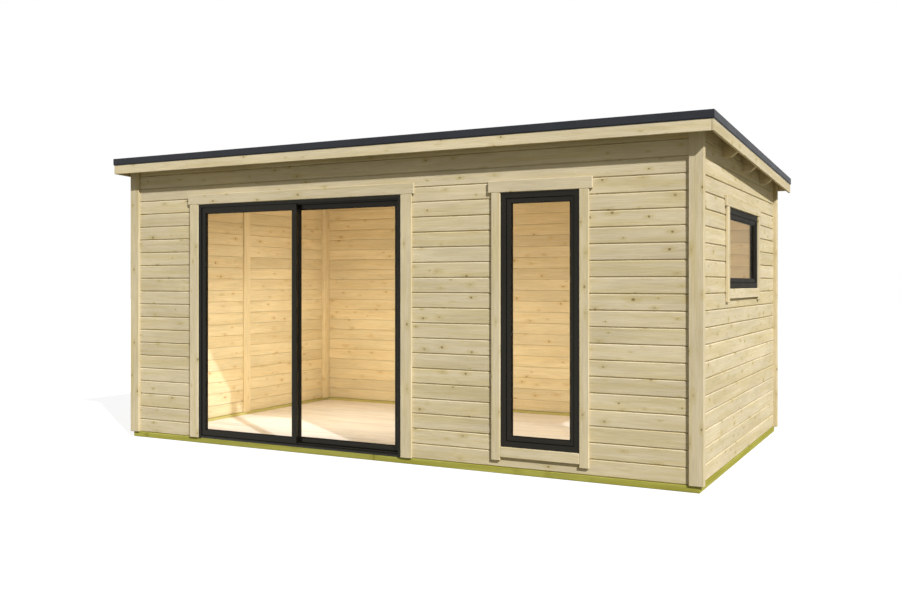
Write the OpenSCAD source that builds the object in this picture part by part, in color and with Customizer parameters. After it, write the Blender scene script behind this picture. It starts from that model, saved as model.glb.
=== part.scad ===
// Garden office pod: a timber room with a low roof that falls to the back.
// Millimetres. +X right, +Y to the back, +Z up. The origin is on the ground, under the middle of the roof.

/* [Walls] */
// Width over the outer faces of the side wall boards
wall_w = 5036; // [4400:1:6000]
// Depth over the outer faces of the front and back wall boards
wall_d = 2950; // [2400:1:3600]
// Thickness of the wall boards
wall_t = 44; // [34:1:58]
// Height of the front wall over the door frame, up to the roof boards
wall_over_door = 399; // [300:1:600]

/* [Base] */
// Height of the bearers under the walls
bearer_h = 45; // [40:1:80]
// Width of the bearers
bearer_w = 70; // [60:1:100]
// How far the bearers stand out from the wall boards
bearer_proud = 5; // [0:1:12]
// Thickness of the floor boards
floor_t = 20; // [16:1:28]

/* [Posts] */
// Corner post along the front
post_w = 100; // [90:1:130]
// Corner post along the side
post_d = 48; // [40:1:55]
// How far a corner post stands out from the side wall
post_side_proud = 34; // [20:1:40]
// How far a corner post stands out from the front or back wall
post_front_proud = 19; // [10:1:25]
// Inner corner post, thickness off the side wall
inner_post_t = 45; // [34:1:60]
// Inner corner post, width along the side wall
inner_post_w = 95; // [70:1:120]
// Cover batten in the middle of the left wall, thickness
batten_t = 20; // [15:1:30]
// Cover batten in the middle of the left wall, width
batten_w = 95; // [70:1:120]

/* [Roof] */
// Fall of the roof to the back, in degrees
roof_pitch = 2.24; // [1:0.01:4]
// Roof edge beyond the front wall
front_overhang = 131; // [90:1:220]
// Roof edge beyond each side wall
side_overhang = 126; // [90:1:220]
// Roof edge beyond the back wall
back_overhang = 188; // [90:1:260]
// Thickness of the roof boards
deck_t = 19; // [16:1:28]
// Thickness of the roofing sheet
membrane_t = 4; // [2:0.5:8]
// Thickness of the fascia boards
fascia_t = 18; // [15:1:25]
// Height of the front and side fascia boards
fascia_h = 125; // [100:1:160]
// Height of the back fascia board
back_fascia_h = 105; // [90:1:160]
// Height of the dark roof edging
edge_h = 60; // [45:1:75]
// Thickness of the dark roof edging
edge_t = 6; // [4:0.5:8]
// Reach of the dark roof edging over the roofing sheet
edge_reach = 60; // [40:1:90]

/* [Purlins] */
// Number of purlins, an odd one
purlin_n = 3; // [1:2:5]
// Width of a purlin
purlin_w = 45; // [40:1:60]
// Height of a purlin at its middle line
purlin_h = 140; // [110:1:170]
// Height that is left at a purlin's bevelled end
purlin_nose_h = 106; // [60:1:109]
// Length of the bevel at a purlin's end
purlin_nose_l = 42; // [30:1:95]

/* [Sliding door] */
// Middle of the door, from the middle of the front wall
door_x = -746; // [-900:1:-600]
// Width over the door frame
door_w = 2016; // [1700:1:2150]
// Height over the door frame
door_h = 2002; // [1850:1:2050]
// Depth of the door frame through the wall
door_frame_d = 88; // [86:1:110]
// How far the door frame stands out from the wall boards
door_frame_proud = 14; // [10:1:18]
// Width of the jambs
jamb_w = 27; // [20:1:40]
// Height of the frame head
head_h = 27; // [20:1:40]
// Height of the sill under the tracks
sill_h = 22; // [14:1:30]
// Width of a track
track_w = 6; // [4:1:8]
// Height of a track
track_h = 12; // [10:1:14]
// Thickness of a leaf
leaf_t = 34; // [32:1:36]
// Width of a leaf's stiles
stile_w = 46; // [45:1:70]
// Height of a leaf's top and bottom rails
leaf_rail_h = 46; // [46:1:70]
// Space between the two leaves
leaf_gap = 8; // [6:1:10]
// Running clearance round the sliding leaf
run_gap = 5; // [5:0.5:6]
// Radius of a roller
roller_r = 11; // [9:0.5:12]
// Width of a roller
roller_w = 8; // [6:0.5:10]
// Roller axle from the end of the leaf
roller_inset = 150; // [80:1:300]

/* [Windows] */
// Middle of the tall window, from the middle of the front wall
tall_x = 1396; // [1250:1:1600]
// Width over the tall window's frame
tall_w = 602; // [450:1:800]
// Tall window's frame above the wall foot
tall_sill = 149; // [130:1:600]
// Head of the tall window's frame below the head of the door frame
tall_head_drop = 22; // [0:1:114]
// Width over the side window's frame
side_w = 1180; // [900:1:1500]
// Height over the side window's frame
side_h = 602; // [450:1:650]
// Head of the side window's frame below the head of the door frame
side_head_drop = 114; // [60:1:228]
// Face width of a window frame
frame_w = 42; // [35:1:55]
// How far a window frame stands out from the wall boards
frame_proud = 6; // [0:1:12]
// Face width of a window sash
sash_w = 33; // [30:1:50]
// Depth of a window sash
sash_d = 45; // [40:1:55]
// Gap between a sash and its frame
sash_gap = 3; // [2:0.5:4]
// Stop behind the sash, reach inwards
stop_reach = 12; // [10:1:15]
// Stop behind the sash, depth
stop_d = 10; // [8:1:14]

/* [Glass] */
// Thickness of a glass unit
glass_t = 20; // [16:1:24]
// Depth of the groove that holds a glass unit
glass_bite = 10; // [6:1:12]
// Window glass behind the sash's face
glass_back = 14; // [8:1:16]

/* [Trim] */
// Thickness of the casings and trims
trim_t = 20; // [18:1:25]
// Width of the door casings
door_casing_w = 98; // [70:1:110]
// Width of the window casings
window_casing_w = 70; // [60:1:90]
// Height of the head trims
head_trim_h = 85; // [60:1:100]
// Head trim of the door beyond its casings
door_head_over = 19; // [0:1:30]
// Head trim of a window beyond its casings
window_head_over = 26; // [0:1:30]
// Height of the trim under a window
sill_trim_h = 75; // [50:1:80]
// Window casings below the trim under the window
casing_drop = 25; // [0:1:40]

/* [Hidden] */
$fn = 64;
// Overshoot of cuts
cut = 1;
// Roller above its track at rest
roller_seat = 0.3;
// Play between sloping faces that lie on each other
slope_play = 0.1;
// Free space round a roller in its pocket
roller_room = 4;
// Radius of a roller axle
axle_r = 4;

timber = "#d9cc9c";
inner_timber = "#e3c27e";
treated = "#a3a045";
pale_floor = "#ecdcc2";
anthracite = "#2e2f30";
roof_black = "#37363b";
pane = "#cfe0df";

// Outer limits of the roof
roof_w = wall_w + 2 * side_overhang;
roof_d = front_overhang + wall_d + back_overhang;
// Faces of the wall boards
front_y = front_overhang - roof_d / 2;
back_y = front_y + wall_d;
side_x = wall_w / 2;
// Wall foot, and the front wall's height over it
foot = bearer_h;
front_wall_h = door_h + wall_over_door;

// Tops of the walls, and the underside of the roof boards over them
function wall_top(y) = foot + front_wall_h - (y - front_y) * tan(roof_pitch);
function under_deck(y) = wall_top(y) + slope_play;
// Roofing sheet over the roof boards, and the edging's seat over it
sheet_low = deck_t + slope_play;
sheet_high = sheet_low + membrane_t;
edge_seat = sheet_high + slope_play;
// Middle line of a purlin and its flat underside
function purlin_y(i) = front_y + wall_d * (i + 1) / (purlin_n + 1);
function purlin_low(i) = wall_top(purlin_y(i)) - purlin_h;
middle_purlin = (purlin_n - 1) / 2;

// Inner side of a corner post, and the depth that its tongue fills behind it
post_in_x = side_x + post_side_proud - post_w;
post_back = post_d - post_front_proud;
// Inner faces of the bearers
bearer_in_x = side_x + bearer_proud - bearer_w;
bearer_in_front = front_y - bearer_proud + bearer_w;
bearer_in_back = back_y + bearer_proud - bearer_w;

// Windows under the line of the door's head
tall_h = door_h - tall_head_drop - tall_sill;
side_sill = door_h - side_head_drop - side_h;

// Sliding door, from the middle of its sill at the board face
door_front = -door_frame_proud;
door_back = door_front + door_frame_d;
door_in = door_w / 2 - jamb_w;
tracks_span = 2 * leaf_t + leaf_gap;
fixed_y = door_front + (door_frame_d - tracks_span) / 2;
sliding_y = fixed_y + leaf_t + leaf_gap;
leaf_low = sill_h + run_gap;
leaf_high = door_h - head_h - run_gap;
groove_w = track_w + 2 * run_gap;
roller_z = sill_h + track_h + roller_seat + roller_r;
// Ends of the two leaves, which overlap by one stile
fixed_x0 = -door_in;
fixed_x1 = stile_w / 2;
sliding_x0 = -stile_w / 2;
sliding_x1 = door_in - run_gap;

// Window sash, from the board face
sash_y = 0;
stop_y = sash_y + sash_d;

// Block between two corners
module block(low, high) {
    translate(low)
        cube(high - low);
}

// Copies of the children on both sides of the middle
module both_sides() {
    children();
    mirror([1, 0, 0])
        children();
}

// Outline in Y and Z, carried along X
module along_x(x0, x1) {
    translate([x0, 0, 0])
        rotate([90, 0, 90])
            linear_extrude(x1 - x0)
                children();
}

// Slab that follows the roof, between two heights over the underside of the roof boards
module roof_slab(x0, x1, y0, y1, low, high) {
    along_x(x0, x1)
        polygon([
            [y0, under_deck(y0) + low],
            [y1, under_deck(y1) + low],
            [y1, under_deck(y1) + high],
            [y0, under_deck(y0) + high]
        ]);
}

// Upright piece from the wall foot to the roof boards
module upright(x0, x1, y0, y1) {
    along_x(x0, x1)
        polygon([
            [y0, foot],
            [y1, foot],
            [y1, wall_top(y1)],
            [y0, wall_top(y0)]
        ]);
}

// Front bearer, with the back one of the same length
module front_bearer() {
    color(treated)
        block(
            [-side_x - bearer_proud, front_y - bearer_proud, 0],
            [side_x + bearer_proud, bearer_in_front, bearer_h]
        );
}

module back_bearer() {
    color(treated)
        block(
            [-side_x - bearer_proud, bearer_in_back, 0],
            [side_x + bearer_proud, back_y + bearer_proud, bearer_h]
        );
}

module side_bearers() {
    color(treated)
        both_sides()
            block(
                [bearer_in_x, bearer_in_front, 0],
                [side_x + bearer_proud, bearer_in_back, bearer_h]
            );
}

// Floor boards inside the frame of bearers
module floor_deck() {
    color(pale_floor)
        block(
            [-bearer_in_x, bearer_in_front, 0],
            [bearer_in_x, bearer_in_back, floor_t]
        );
}

// Corner post of the front right corner: a tongue fills the corner behind the front boards
module front_right_post() {
    upright(post_in_x, side_x + post_side_proud, front_y - post_front_proud, front_y + post_back);
    upright(post_in_x, side_x - wall_t, front_y + post_back, front_y + wall_t);
}

module back_right_post() {
    upright(post_in_x, side_x + post_side_proud, back_y - post_back, back_y + post_front_proud);
    upright(post_in_x, side_x - wall_t, back_y - wall_t, back_y - post_back);
}

module front_posts() {
    color(timber)
        both_sides()
            front_right_post();
}

module back_posts() {
    color(timber)
        both_sides()
            back_right_post();
}

// Right side wall with seats for the purlins in its top edge
module side_wall() {
    difference() {
        upright(side_x - wall_t, side_x, front_y + post_back, back_y - post_back);
        for (i = [0:purlin_n - 1])
            block(
                [side_x - wall_t - cut, purlin_y(i) - purlin_w / 2, purlin_low(i)],
                [side_x + cut, purlin_y(i) + purlin_w / 2, wall_top(front_y)]
            );
    }
}

module left_wall() {
    color(timber)
        mirror([1, 0, 0])
            side_wall();
}

module right_wall() {
    color(timber)
        difference() {
            side_wall();
            at_side_window()
                block([-side_w / 2, -cut, 0], [side_w / 2, wall_t + cut, side_h]);
        }
}

module back_wall() {
    color(timber)
        upright(-post_in_x, post_in_x, back_y - wall_t, back_y);
}

// Front wall in three pieces: beside the door, over it, and the piece with the tall window
module front_wall_left() {
    color(timber)
        upright(-post_in_x, door_x - door_w / 2, front_y, front_y + wall_t);
}

module front_wall_head() {
    color(timber)
        difference() {
            upright(door_x - door_w / 2, door_x + door_w / 2, front_y, front_y + wall_t);
            block(
                [door_x - door_w / 2 - cut, front_y - cut, 0],
                [door_x + door_w / 2 + cut, front_y + wall_t + cut, foot + door_h]
            );
        }
}

module front_wall_right() {
    color(timber)
        difference() {
            upright(door_x + door_w / 2, post_in_x, front_y, front_y + wall_t);
            at_tall_window()
                block([-tall_w / 2, -cut, 0], [tall_w / 2, wall_t + cut, tall_h]);
        }
}

// Posts in the inner corners, which stand on the side bearers
module inner_corner_posts() {
    inner_x = side_x - wall_t;
    color(inner_timber)
        both_sides() {
            upright(inner_x - inner_post_t, inner_x, front_y + wall_t, front_y + wall_t + inner_post_w);
            upright(inner_x - inner_post_t, inner_x, back_y - wall_t - inner_post_w, back_y - wall_t);
        }
}

// Cover batten on the left wall, under the middle purlin
module left_wall_batten() {
    middle_y = purlin_y(middle_purlin);
    inner_x = side_x - wall_t;
    color(inner_timber)
        block(
            [-inner_x, middle_y - batten_w / 2, foot],
            [batten_t - inner_x, middle_y + batten_w / 2, purlin_low(middle_purlin)]
        );
}

// Purlins: square beams whose tops follow the roof, bevelled under their outer ends
module purlins() {
    end_x = roof_w / 2 - edge_t - fascia_t;
    rise = purlin_h - purlin_nose_h;
    color(timber)
        for (i = [0:purlin_n - 1]) {
            low = purlin_low(i);
            y0 = purlin_y(i) - purlin_w / 2;
            y1 = purlin_y(i) + purlin_w / 2;
            intersection() {
                along_x(-end_x, end_x)
                    polygon([[y0, low], [y1, low], [y1, wall_top(y1)], [y0, wall_top(y0)]]);
                translate([0, y1 + cut, low])
                    rotate([90, 0, 0])
                        linear_extrude(purlin_w + 2 * cut)
                            polygon([
                                [purlin_nose_l - end_x, 0],
                                [end_x - purlin_nose_l, 0],
                                [end_x, rise],
                                [end_x, 2 * purlin_h],
                                [-end_x, 2 * purlin_h],
                                [-end_x, rise]
                            ]);
            }
        }
}

// Roof boards inside the fascias
module roof_deck() {
    x = roof_w / 2 - edge_t - fascia_t;
    y = roof_d / 2 - edge_t - fascia_t;
    color(timber)
        roof_slab(-x, x, -y, y, 0, deck_t);
}

// Roofing sheet over the boards and the tops of the fascias
module roof_membrane() {
    x = roof_w / 2 - edge_t;
    y = roof_d / 2 - edge_t;
    color(roof_black)
        roof_slab(-x, x, -y, y, sheet_low, sheet_high);
}

// Side fascias cover the ends of the front and back ones
module front_fascia() {
    x = roof_w / 2 - edge_t - fascia_t;
    y = roof_d / 2 - edge_t;
    color(timber)
        roof_slab(-x, x, -y, fascia_t - y, deck_t - fascia_h, deck_t);
}

module back_fascia() {
    x = roof_w / 2 - edge_t - fascia_t;
    y = roof_d / 2 - edge_t;
    color(timber)
        roof_slab(-x, x, y - fascia_t, y, deck_t - back_fascia_h, deck_t);
}

module side_fascias() {
    x = roof_w / 2 - edge_t;
    y = roof_d / 2 - edge_t;
    color(timber)
        both_sides()
            roof_slab(x - fascia_t, x, -y, y, deck_t - fascia_h, deck_t);
}

// Dark edging all round: a leg over the fascia and a reach over the roofing sheet
module edge_ring() {
    x = roof_w / 2;
    y = roof_d / 2;
    top = edge_seat + edge_t;
    difference() {
        roof_slab(-x, x, -y, y, top - edge_h, top);
        roof_slab(edge_t - x, x - edge_t, edge_t - y, y - edge_t, top - edge_h - cut, edge_seat);
        roof_slab(edge_reach - x, x - edge_reach, edge_reach - y, y - edge_reach, 0, top + cut);
    }
}

// The edging is mitred at the corners: the front length lies inside this outline
module front_mitre() {
    x = roof_w / 2;
    y = roof_d / 2;
    linear_extrude(under_deck(-y) + edge_h)
        polygon([
            [-x, -y],
            [x, -y],
            [x - edge_reach, edge_reach - y],
            [edge_reach - x, edge_reach - y]
        ]);
}

module front_roof_edge() {
    color(roof_black)
        intersection() {
            edge_ring();
            front_mitre();
        }
}

module back_roof_edge() {
    color(roof_black)
        intersection() {
            edge_ring();
            mirror([0, 1, 0])
                front_mitre();
        }
}

module side_roof_edges() {
    color(roof_black)
        difference() {
            edge_ring();
            front_mitre();
            mirror([0, 1, 0])
                front_mitre();
        }
}

// Places children at the middle of the door's sill, on the face of the front boards
module at_door() {
    translate([door_x, front_y, foot])
        children();
}

module door_jambs() {
    color(anthracite)
        at_door()
            both_sides()
                block([door_in, door_front, 0], [door_w / 2, door_back, door_h]);
}

// Two tracks on a plate, one under each leaf
module tracks(low, high) {
    for (y = [fixed_y, sliding_y])
        block(
            [-door_in, y + leaf_t / 2 - track_w / 2, low],
            [door_in, y + leaf_t / 2 + track_w / 2, high]
        );
}

module door_sill() {
    color(anthracite)
        at_door() {
            block([-door_in, door_front, 0], [door_in, door_back, sill_h]);
            tracks(sill_h, sill_h + track_h);
        }
}

module door_head() {
    color(anthracite)
        at_door() {
            block([-door_in, door_front, door_h - head_h], [door_in, door_back, door_h]);
            tracks(door_h - head_h - track_h, door_h - head_h);
        }
}

// Glass unit of a leaf, set into the grooves of its frame
module leaf_glass(x0, x1, y) {
    middle = y + leaf_t / 2;
    block(
        [x0 + stile_w - glass_bite, middle - glass_t / 2, leaf_low + leaf_rail_h - glass_bite],
        [x1 - stile_w + glass_bite, middle + glass_t / 2, leaf_high - leaf_rail_h + glass_bite]
    );
}

// Frame of a leaf between x0 and x1: stiles, rails, and grooves over the tracks
module leaf_frame(x0, x1, y, groove_h) {
    middle = y + leaf_t / 2;
    difference() {
        block([x0, y, leaf_low], [x1, y + leaf_t, leaf_high]);
        block(
            [x0 + stile_w, y - cut, leaf_low + leaf_rail_h],
            [x1 - stile_w, y + leaf_t + cut, leaf_high - leaf_rail_h]
        );
        leaf_glass(x0, x1, y);
        block(
            [x0 - cut, middle - groove_w / 2, leaf_low - cut],
            [x1 + cut, middle + groove_w / 2, leaf_low + groove_h]
        );
        block(
            [x0 - cut, middle - groove_w / 2, leaf_high - track_h],
            [x1 + cut, middle + groove_w / 2, leaf_high + cut]
        );
    }
}

// Left leaf on the outer track: fixed to the jamb and standing on its track
module fixed_leaf_frame() {
    color(anthracite)
        at_door()
            leaf_frame(fixed_x0, fixed_x1, fixed_y, track_h - run_gap);
}

module fixed_leaf_glass() {
    color(pane)
        at_door()
            leaf_glass(fixed_x0, fixed_x1, fixed_y);
}

// Roller axles of the sliding leaf
roller_xs = [sliding_x0 + roller_inset, sliding_x1 - roller_inset];

// Right leaf on the inner track, with a pocket for each roller
module sliding_leaf_frame() {
    middle = sliding_y + leaf_t / 2;
    room = roller_r + roller_room;
    color(anthracite)
        at_door()
            difference() {
                leaf_frame(sliding_x0, sliding_x1, sliding_y, track_h);
                for (x = roller_xs)
                    block(
                        [x - room, middle - groove_w / 2, leaf_low],
                        [x + room, middle + groove_w / 2, roller_z + room]
                    );
            }
}

module sliding_leaf_glass() {
    color(pane)
        at_door()
            leaf_glass(sliding_x0, sliding_x1, sliding_y);
}

// Rollers on axles that reach from one wall of the pocket to the other
module sliding_leaf_rollers() {
    color("silver")
        at_door()
            for (x = roller_xs)
                translate([x, sliding_y + leaf_t / 2, roller_z])
                    rotate([90, 0, 0]) {
                        cylinder(r = roller_r, h = roller_w, center = true);
                        cylinder(r = axle_r, h = groove_w, center = true);
                    }
}

module door_casings() {
    color(timber)
        at_door()
            both_sides()
                block([door_w / 2, -trim_t, 0], [door_w / 2 + door_casing_w, 0, door_h]);
}

module door_head_trim() {
    reach = door_w / 2 + door_casing_w + door_head_over;
    color(timber)
        at_door()
            block([-reach, -trim_t, door_h], [reach, 0, door_h + head_trim_h]);
}

// Places children at the middle of a window's lower edge, on the face of the boards, +Y inwards
module at_tall_window() {
    translate([tall_x, front_y, foot + tall_sill])
        children();
}

module at_side_window() {
    translate([side_x, (front_y + back_y) / 2, foot + side_sill])
        rotate([0, 0, 90])
            children();
}

// Rectangular ring, w by h, set in by inset and side wide, from y0 to y1
module ring(w, h, inset, side, y0, y1) {
    edge = inset + side;
    difference() {
        block([inset - w / 2, y0, inset], [w / 2 - inset, y1, h - inset]);
        block([edge - w / 2, y0 - cut, edge], [w / 2 - edge, y1 + cut, h - edge]);
    }
}

// Window frame with the stop that the sash lies against
module window_frame(w, h) {
    color(anthracite) {
        ring(w, h, 0, frame_w, -frame_proud, stop_y);
        ring(w, h, 0, frame_w + stop_reach, stop_y, stop_y + stop_d);
    }
}

// Glass unit of a window, set into the groove of its sash
module window_glass(w, h) {
    edge = frame_w + sash_gap + sash_w - glass_bite;
    y = sash_y + glass_back;
    color(pane)
        block([edge - w / 2, y, edge], [w / 2 - edge, y + glass_t, h - edge]);
}

module window_sash(w, h) {
    color(anthracite)
        difference() {
            ring(w, h, frame_w + sash_gap, sash_w, sash_y, stop_y);
            window_glass(w, h);
        }
}

module window_casings(w, h) {
    color(timber)
        both_sides()
            block(
                [w / 2, -trim_t, -sill_trim_h - casing_drop],
                [w / 2 + window_casing_w, 0, h]
            );
}

module window_head_trim(w, h) {
    reach = w / 2 + window_casing_w + window_head_over;
    color(timber)
        block([-reach, -trim_t, h], [reach, 0, h + head_trim_h]);
}

module window_sill_trim(w) {
    color(timber)
        block([-w / 2, -trim_t, -sill_trim_h], [w / 2, 0, 0]);
}

module tall_window_frame() {
    at_tall_window()
        window_frame(tall_w, tall_h);
}

module tall_window_sash() {
    at_tall_window()
        window_sash(tall_w, tall_h);
}

module tall_window_glass() {
    at_tall_window()
        window_glass(tall_w, tall_h);
}

module tall_window_casings() {
    at_tall_window()
        window_casings(tall_w, tall_h);
}

module tall_window_head_trim() {
    at_tall_window()
        window_head_trim(tall_w, tall_h);
}

module tall_window_sill_trim() {
    at_tall_window()
        window_sill_trim(tall_w);
}

module side_window_frame() {
    at_side_window()
        window_frame(side_w, side_h);
}

module side_window_sash() {
    at_side_window()
        window_sash(side_w, side_h);
}

module side_window_glass() {
    at_side_window()
        window_glass(side_w, side_h);
}

module side_window_casings() {
    at_side_window()
        window_casings(side_w, side_h);
}

module side_window_head_trim() {
    at_side_window()
        window_head_trim(side_w, side_h);
}

module side_window_sill_trim() {
    at_side_window()
        window_sill_trim(side_w);
}

front_bearer();
back_bearer();
side_bearers();
floor_deck();
front_posts();
back_posts();
left_wall();
right_wall();
back_wall();
front_wall_left();
front_wall_head();
front_wall_right();
inner_corner_posts();
left_wall_batten();
purlins();
roof_deck();
roof_membrane();
front_fascia();
back_fascia();
side_fascias();
front_roof_edge();
back_roof_edge();
side_roof_edges();
door_jambs();
door_head();
door_sill();
fixed_leaf_frame();
fixed_leaf_glass();
sliding_leaf_frame();
sliding_leaf_glass();
sliding_leaf_rollers();
door_casings();
door_head_trim();
tall_window_frame();
tall_window_sash();
tall_window_glass();
tall_window_casings();
tall_window_head_trim();
tall_window_sill_trim();
side_window_frame();
side_window_sash();
side_window_glass();
side_window_casings();
side_window_head_trim();
side_window_sill_trim();
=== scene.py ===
"""Garden office pod: its boards, frames, glass, roof and finishes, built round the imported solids.

Metres, in the frame of the solids: +X right along the front, +Y to the back, +Z up.
"""

import math
from collections import namedtuple

import bpy
import numpy as np
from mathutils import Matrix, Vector


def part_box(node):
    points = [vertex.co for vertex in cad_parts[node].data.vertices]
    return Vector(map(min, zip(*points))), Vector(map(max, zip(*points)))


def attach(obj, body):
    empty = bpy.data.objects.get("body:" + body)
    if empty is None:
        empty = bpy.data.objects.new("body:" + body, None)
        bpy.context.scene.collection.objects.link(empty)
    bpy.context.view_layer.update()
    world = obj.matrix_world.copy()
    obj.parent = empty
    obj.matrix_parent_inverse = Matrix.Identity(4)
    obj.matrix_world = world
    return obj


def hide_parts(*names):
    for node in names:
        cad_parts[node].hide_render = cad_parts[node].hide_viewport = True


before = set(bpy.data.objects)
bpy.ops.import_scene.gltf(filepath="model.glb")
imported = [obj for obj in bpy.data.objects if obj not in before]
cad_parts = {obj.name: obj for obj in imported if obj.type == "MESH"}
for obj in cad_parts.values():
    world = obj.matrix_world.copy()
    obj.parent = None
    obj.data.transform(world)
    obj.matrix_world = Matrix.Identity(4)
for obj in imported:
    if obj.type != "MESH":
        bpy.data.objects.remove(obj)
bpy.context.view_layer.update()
draw = np.random.default_rng(41)


# Places read from the solids


def box(name):
    """Lowest and highest corner of a CAD node, as two arrays."""
    low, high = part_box(name)
    return np.array(low), np.array(high)


wall_low, wall_high = box("front_wall_left")
back_low, back_high = box("back_wall")
roof_low, roof_high = box("roof_membrane")
deck_low, deck_high = box("roof_deck")
front_y = wall_low[1]
back_y = back_high[1]
side_x = box("right_wall")[1][0]
foot = wall_low[2]
wall_t = wall_high[1] - wall_low[1]
wall_end_x = back_high[0]
# Fall of the roof for each metre towards the back
fall = (wall_high[2] - back_high[2]) / (back_low[1] - front_y)


def wall_top(y):
    """Height of the walls' top edge, which is the underside of the roof boards."""
    return wall_high[2] - fall * (y - front_y)


# Sizes that the solids leave to the boards and profiles

# Cover height of a wall board, its V-joint outside and inside, and the slit between two boards
course = 0.114
joint_out = 0.0062
joint_in = 0.0024
slit = 0.0013
slit_depth = 0.004
# Height from which a board has its whole joint, and the share of a joint that a cut edge has
whole_joint_h = 0.03
cut_share = 0.02
# Least height and length of a piece of wall board, and its least height at a thin end
least_h = 0.002
least_l = 0.0005
thin_end = 0.0005
# Planed edges of trims, posts and their tongues, sawn bearers, fascias and metal
trim_edge = 0.0035
post_edge = 0.003
tongue_edge = 0.0015
bearer_edge = 0.003
fascia_edge = 0.0015
metal_edge = 0.0015
# Cover widths of floor boards and roof boards, and the joints between them
floor_board = 0.121
floor_joint = 0.0007
roof_board = 0.096
roof_joint = 0.003
# Tones of boards run from 0, dark, to 1. Share of that range on the floor, and the tones of the fascias:
# painted light on the front and back ones, painted shade on the side ones
floor_tone = 0.35
front_back_fascia_painted_light = 1.24
side_fascia_painted_shade = -0.4
# Inner corner posts: width along the side walls, and thickness
inner_post_w = 0.095
inner_post_t = 0.045
# Purlins: number, width, depth, height left at an end, length of the bevel there, share of the edge on top
purlin_count = 3
purlin_w = 0.045
purlin_d = 0.140
nose_h = 0.106
nose_l = 0.042
hidden_cut = 0.1
# Roofing sheet: points of its grid along X and Y, number of lengths, height and half width of a lap, reach
# of the painted shade under it, and swell
sheet_points_x = 140
sheet_points_y = 60
sheet_count = 3
lap_h = 0.0022
lap_half = 0.004
lap_shade_reach = 0.012
swell = 0.0006
# Roof edging: height of its leg, and depth and height of the drip step at its foot
edging_leg = 0.060
drip_d = 0.0035
drip_h = 0.008
# Tracks of the sliding door, and the grooves over them, less deep under the fixed leaf
track_w = 0.006
track_h = 0.012
groove_w = 0.016
fixed_groove_h = 0.007
# Sill and head: planed edge at their ends, and depth and height of the slope under the sill's front edge
bar_edge = 0.00015
slope_d = 0.009
slope_h = 0.012
# Seal in the corner of jamb and leaf: width, depth, and its play where the leaf slides past it
seal_w = 0.011
seal_d = 0.005
seal_play = 0.0005
# Door leaves: stile, rail, bevel beside the glass, and a rail's reach into the stile and planed end
stile_w = 0.046
rail_h = 0.046
bead = 0.004
rail_lap = 0.001
rail_edge = 0.0005
# Glass units, and the rubber round them: width, thickness, and thickness of its thin edge
glass_t = 0.020
rubber_w = 0.005
rubber_t = 0.003
leaf_rubber_thin = 0.0008
window_rubber_thin = 0.0006
# Windows: width of frame and sash and the gap between them, and depths from the face of the boards
frame_face = 0.042
frame_proud = 0.006
sash_gap = 0.003
sash_face = 0.033
sash_depth = 0.045
sash_bevel = 0.012
glass_back = 0.014
# Stop behind the sash: reach, depth, and the sash's play before it
stop_reach = 0.012
stop_depth = 0.010
stop_play = 0.0003
# Middles of the purlins along Y, and heights of their undersides
purlin_y = front_y + (back_y - front_y) * np.arange(1, purlin_count + 1) / (purlin_count + 1)
purlin_foot = wall_top(purlin_y) - purlin_d


# Shader tools


def node(tree, kind, inputs=None, **settings):
    """Adds a shader node of a kind with its settings. Inputs are values or sockets, by name or number."""
    made = tree.nodes.new("ShaderNode" + kind)
    for key, value in settings.items():
        setattr(made, key, value)
    for key, value in (inputs or {}).items():
        if isinstance(value, bpy.types.NodeSocket):
            tree.links.new(value, made.inputs[key])
        else:
            made.inputs[key].default_value = value
    return made


def maths(tree, operation, *values):
    """One sum on numbers."""
    return node(tree, "Math", dict(enumerate(values)), operation=operation).outputs[0]


def vectors(tree, operation, *values):
    """One sum on vectors, as the outputs of its node."""
    return node(tree, "VectorMath", dict(enumerate(values)), operation=operation).outputs


def stretch(tree, vector, factors):
    """A vector times a factor for each axis."""
    return vectors(tree, "MULTIPLY", vector, factors)[0]


def noise(tree, vector, scale, detail=2.0, rough=0.5):
    """Cloudy noise from 0 to 1."""
    inputs = {"Vector": vector, "Scale": scale, "Detail": detail, "Roughness": rough}
    return node(tree, "TexNoise", inputs).outputs[0]


def drawn_out(tree, vector, along, across, detail=2.0, rough=0.5):
    """Noise with one scale along the grain and another across and through it."""
    return noise(tree, stretch(tree, vector, (along, across, across)), 1.0, detail, rough)


def ramp(tree, value, start, end, low=0.0, high=1.0):
    """Smooth step of a value: low at start, high at end."""
    inputs = {"Value": value, "From Min": start, "From Max": end, "To Min": low, "To Max": high}
    return node(tree, "MapRange", inputs, interpolation_type="SMOOTHSTEP").outputs[0]


def mix(tree, share, first, second, blend="MIX"):
    """Mix of two colours."""
    inputs = {0: share, 6: first, 7: second}
    return node(tree, "Mix", inputs, data_type="RGBA", blend_type=blend).outputs[2]


def scaled(tree, colour, factor):
    """A colour times a number."""
    return node(tree, "VectorMath", {0: colour, "Scale": factor}, operation="SCALE").outputs[0]


def group(name, inputs):
    """A node group with named inputs, which gives colour, roughness and height.

    Returns its tree, its inputs and a function that sets what it gives.
    """
    outputs = {"Color": "Color", "Roughness": "Float", "Height": "Float"}
    tree = bpy.data.node_groups.new(name, "ShaderNodeTree")
    for sockets, way in ((inputs, "INPUT"), (outputs, "OUTPUT")):
        for title, kind in sockets.items():
            tree.interface.new_socket(name=title, in_out=way, socket_type="NodeSocket" + kind)
    given = tree.nodes.new("NodeGroupInput").outputs
    result = tree.nodes.new("NodeGroupOutput").inputs

    def put(*values):
        """Links colour, roughness and height to the group's outputs."""
        for title, value in zip(outputs, values):
            tree.links.new(value, result[title])

    return tree, given, put


def place(tree, group_tree, inputs):
    """The outputs of a node group that is placed in a material with its own values."""
    return node(tree, "Group", inputs, node_tree=group_tree).outputs


def attribute(tree, name):
    """The outputs of a mesh attribute."""
    return node(tree, "Attribute", attribute_name=name).outputs


def object_place(tree):
    """Coordinates in the frame of the solids."""
    return node(tree, "TexCoord").outputs["Object"]


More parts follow.
